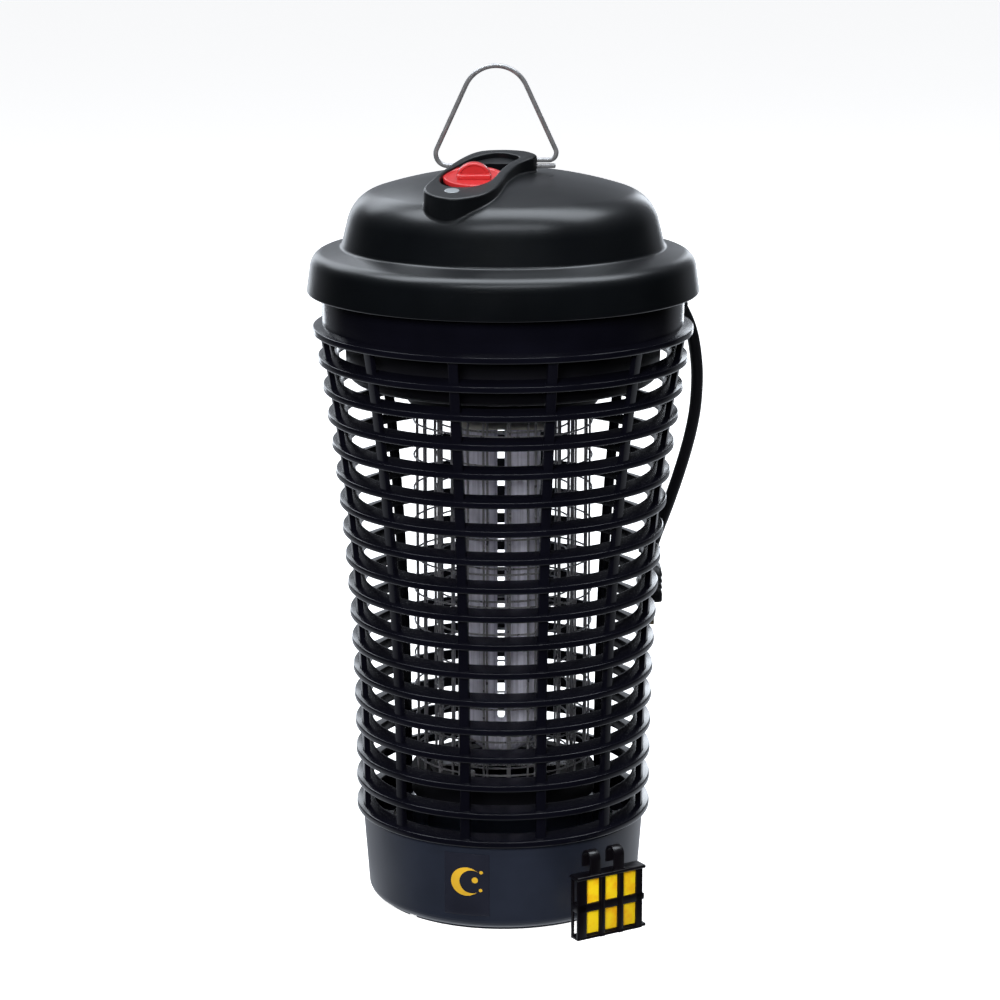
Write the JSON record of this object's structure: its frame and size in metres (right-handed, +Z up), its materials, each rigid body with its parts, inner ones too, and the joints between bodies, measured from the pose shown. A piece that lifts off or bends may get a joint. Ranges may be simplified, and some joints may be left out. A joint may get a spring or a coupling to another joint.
{
  "type": "electric bug zapper",
  "caption": "Tapered ring-cage bug zapper with a U lamp inside two wire grids, a domed cap with a red knob and hanging bail, a base cup, a short lead and a loose lure holder.",
  "frame": {"origin": "centre of the base cup's resting face", "axes": "+Z up the zapper's axis, -Y towards the knob and the front plate, +X to the viewer's right"},
  "size_m": [0.2445, 0.237, 0.5162],
  "materials": {
    "cage_plastic": "glossy",
    "base_plastic": "satin",
    "plate_plastic": "satin",
    "cap_plastic": "satin",
    "black_plastic": "satin",
    "red_plastic": "glossy",
    "white_plastic": "matte",
    "lens": "frosted",
    "sensor_body": "glossy",
    "steel": "bright",
    "screw_steel": "zinc plated",
    "bail_steel": "plain wire",
    "grid_steel": "drawn wire",
    "brass": "plain",
    "lamp_glass": "phosphor coated",
    "core_steel": "laminated",
    "coil_copper": "enamelled wire",
    "board": "solder mask",
    "capacitor_film": "sleeved",
    "cord_jacket": "matte",
    "lure_plastic": "glossy",
    "lure_block": "waxy"
  },
  "bodies": {
    "zapper": {"base_cup": "base_plastic", "base_screws": "screw_steel", "label_plate": "plate_plastic", "guard_cage": "cage_plastic", "support_strap": "steel", "strap_screws": "screw_steel", "lower_insulator": "black_plastic", "insulator_screws": "screw_steel", "lamp_clip": "steel", "grid_terminals": "steel", "outer_grid": "grid_steel", "outer_grid_hoops": "grid_steel", "inner_grid": "grid_steel", "inner_grid_hoops": "grid_steel", "upper_insulator": "black_plastic", "lamp_tube": "lamp_glass", "lamp_base": "white_plastic", "lamp_pins": "brass", "lamp_socket": "white_plastic", "electronics_tray": "black_plastic", "tray_screws": "screw_steel", "transformer_core": "core_steel", "transformer_coil": "coil_copper", "transformer_screws": "screw_steel", "lamp_ballast": "black_plastic", "board_standoffs": "white_plastic", "circuit_board": "board", "capacitors": "capacitor_film", "fuse": "lens", "terminal_block": "white_plastic", "top_cap": "cap_plastic", "cap_screws": "screw_steel", "sensor_lens": "lens", "light_sensor": "sensor_body", "rotary_switch": "black_plastic", "switch_nut": "steel", "strain_relief": "cord_jacket", "cord": "cord_jacket", "plug_body": "cord_jacket", "plug_blades": "brass"},
    "knob": {"power_knob": "red_plastic", "switch_spindle": "steel"},
    "bail": {"bail": "bail_steel"},
    "lure": {"lure_frame": "lure_plastic", "lure_tablet": "lure_block"}
  },
  "joints": [
    {"name": "knob_turn", "type": "hinge", "parent": "zapper", "child": "knob", "pos_m": [-0.0171, -0.03933, 0.45549], "axis": [0, -0.1908, 0.9816], "range_deg": [-60, 60]},
    {"name": "bail_swing", "type": "hinge", "parent": "zapper", "child": "bail", "pos_m": [0, -0.0028, 0.4552], "axis": [1, 0, 0], "range_deg": [-75, 75]},
    {"name": "lure_lift", "type": "slide", "parent": "zapper", "child": "lure", "axis": [0, 0, 1], "range_m": [0, 0.12]}
  ]
}
